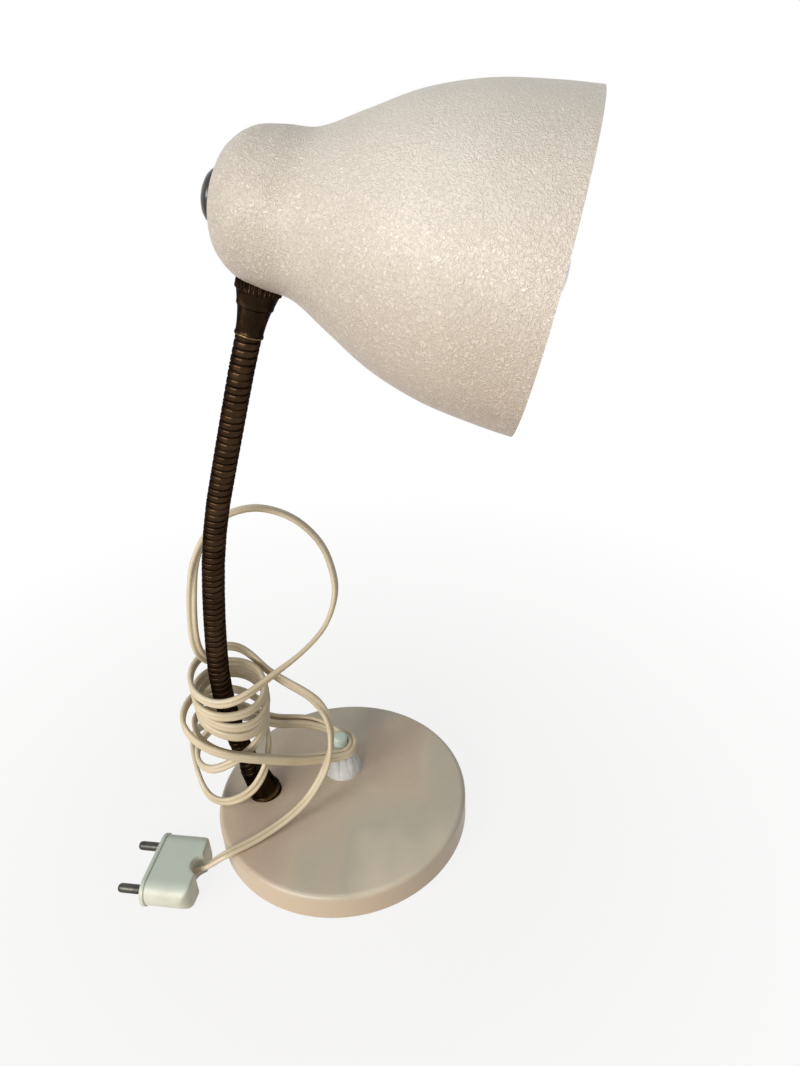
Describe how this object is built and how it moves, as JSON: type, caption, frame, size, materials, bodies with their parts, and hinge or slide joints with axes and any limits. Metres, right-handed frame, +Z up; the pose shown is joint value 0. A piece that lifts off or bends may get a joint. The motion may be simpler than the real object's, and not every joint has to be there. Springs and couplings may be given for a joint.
{
  "type": "gooseneck desk lamp",
  "caption": "Gooseneck desk lamp: bell shade on a flexible strip-wound neck, round weighted base with a push switch, lead with a round-pin plug.",
  "frame": {"origin": "centre of the base's underside, on the table", "axes": "+X the way the shade leans and points, +Y away from the viewer of the picture, +Z up"},
  "size_m": [0.2469, 0.16, 0.3678],
  "materials": {
    "lacquer": "beige crinkle lacquer",
    "bronzed_steel": "bronzed strip",
    "dark_brass": "dark lacquered brass",
    "steel": "plain",
    "iron": "raw casting",
    "felt": "pressed felt",
    "bakelite": "moulded phenolic",
    "porcelain": "glazed ceramic",
    "white_plastic": "moulded",
    "button_plastic": "moulded",
    "ivory_plastic": "yellowed",
    "contact_brass": "plain",
    "bulb_aluminium": "plain",
    "clear_glass": "clear",
    "pin_metal": "dulled",
    "flex_plastic": "soft twin flex"
  },
  "bodies": {
    "base": {"base_shell": "lacquer", "ballast_ring": "iron", "closing_plate": "steel", "plate_screws": "steel", "felt_pad": "felt", "cord_grommet": "ivory_plastic", "switch_collar": "white_plastic", "switch_body": "bakelite", "switch_nut": "steel", "switch_spring": "steel", "foot_ferrule": "dark_brass", "foot_nipple": "dark_brass", "foot_wedge_washer": "steel", "foot_nut": "steel", "gooseneck_foot": "bronzed_steel", "plug_body": "ivory_plastic", "plug_pins": "pin_metal", "cord_start": "flex_plastic", "cord_neck_coil": "flex_plastic", "cord_band_front": "flex_plastic", "cord_band_back": "flex_plastic", "cord_switch_ring": "flex_plastic", "cord_loop": "flex_plastic", "cord_tail": "flex_plastic"},
    "push_button": {"push_button": "button_plastic"},
    "neck_01": {"gooseneck_01": "bronzed_steel"},
    "neck_02": {"gooseneck_02": "bronzed_steel"},
    "neck_03": {"gooseneck_03": "bronzed_steel"},
    "neck_04": {"gooseneck_04": "bronzed_steel"},
    "neck_05": {"gooseneck_05": "bronzed_steel"},
    "neck_06": {"gooseneck_06": "bronzed_steel"},
    "neck_07": {"gooseneck_07": "bronzed_steel"},
    "neck_08": {"gooseneck_08": "bronzed_steel"},
    "neck_09": {"gooseneck_09": "bronzed_steel"},
    "neck_10": {"gooseneck_10": "bronzed_steel"},
    "neck_11": {"gooseneck_11": "bronzed_steel", "top_ferrule": "dark_brass", "head_nipple": "dark_brass", "head_nut": "steel"},
    "head": {"knurled_saddle": "dark_brass", "saddle_washer": "steel", "shade": "lacquer", "rear_cap": "bakelite", "holder_body": "bakelite", "holder_insert": "porcelain", "holder_contact": "contact_brass", "holder_screw_shell": "contact_brass", "holder_skirt": "bakelite", "bulb_cap": "bulb_aluminium", "bulb_tip_contact": "bulb_aluminium", "bulb_glass": "clear_glass", "bulb_stem": "clear_glass", "bulb_filament": "steel"}
  },
  "joints": [
    {"name": "neck_bend_01", "type": "hinge", "parent": "base", "child": "neck_01", "pos_m": [-0.05631, 0.00929, 0.10623], "axis": [0.1045, 0.9945, 0], "range_deg": [-14.25, 5.75]},
    {"name": "neck_bend_02", "type": "hinge", "parent": "neck_01", "child": "neck_02", "pos_m": [-0.05488, 0.00914, 0.12267], "axis": [0.1045, 0.9945, 0], "range_deg": [-11.33, 8.67]},
    {"name": "neck_turn_03", "type": "hinge", "parent": "neck_02", "child": "neck_03", "pos_m": [-0.05307, 0.00895, 0.13906], "axis": [0.9856, -0.1036, -0.1334], "range_deg": [-10, 10]},
    {"name": "neck_bend_04", "type": "hinge", "parent": "neck_03", "child": "neck_04", "pos_m": [-0.05088, 0.00872, 0.15542], "axis": [0.1045, 0.9945, 0], "range_deg": [-11.33, 8.67]},
    {"name": "neck_bend_05", "type": "hinge", "parent": "neck_04", "child": "neck_05", "pos_m": [-0.04831, 0.00845, 0.17172], "axis": [0.1045, 0.9945, 0], "range_deg": [-12.83, 7.17]},
    {"name": "neck_turn_06", "type": "hinge", "parent": "neck_05", "child": "neck_06", "pos_m": [-0.04494, 0.0081, 0.18786], "axis": [0.9621, -0.1011, -0.2532], "range_deg": [-10, 10]},
    {"name": "neck_bend_07", "type": "hinge", "parent": "neck_06", "child": "neck_07", "pos_m": [-0.04079, 0.00766, 0.20383], "axis": [0.1045, 0.9945, 0], "range_deg": [-12.83, 7.17]},
    {"name": "neck_bend_08", "type": "hinge", "parent": "neck_07", "child": "neck_08", "pos_m": [-0.03585, 0.00714, 0.21956], "axis": [0.1045, 0.9945, 0], "range_deg": [-10.17, 9.83]},
    {"name": "neck_turn_09", "type": "hinge", "parent": "neck_08", "child": "neck_09", "pos_m": [-0.03087, 0.00662, 0.23528], "axis": [0.9467, -0.0995, -0.3062], "range_deg": [-10, 10]},
    {"name": "neck_bend_10", "type": "hinge", "parent": "neck_09", "child": "neck_10", "pos_m": [-0.02585, 0.00609, 0.25099], "axis": [0.1045, 0.9945, 0], "range_deg": [-10.17, 9.83]},
    {"name": "neck_bend_11", "type": "hinge", "parent": "neck_10", "child": "neck_11", "pos_m": [-0.02078, 0.00556, 0.26668], "axis": [0.1045, 0.9945, 0], "range_deg": [-11.5, 8.5]},
    {"name": "shade_swivel", "type": "hinge", "parent": "neck_11", "child": "head", "pos_m": [-0.0153, 0.00498, 0.28224], "axis": [0.332, -0.0349, 0.9426], "range_deg": [-170, 170]},
    {"name": "button_press", "type": "slide", "parent": "base", "child": "push_button", "axis": [0, 0, -1], "range_m": [0, 0.0025], "stiffness_N_per_m": 900, "springref_m": -0.002, "deforming": ["switch_spring"]}
  ]
}
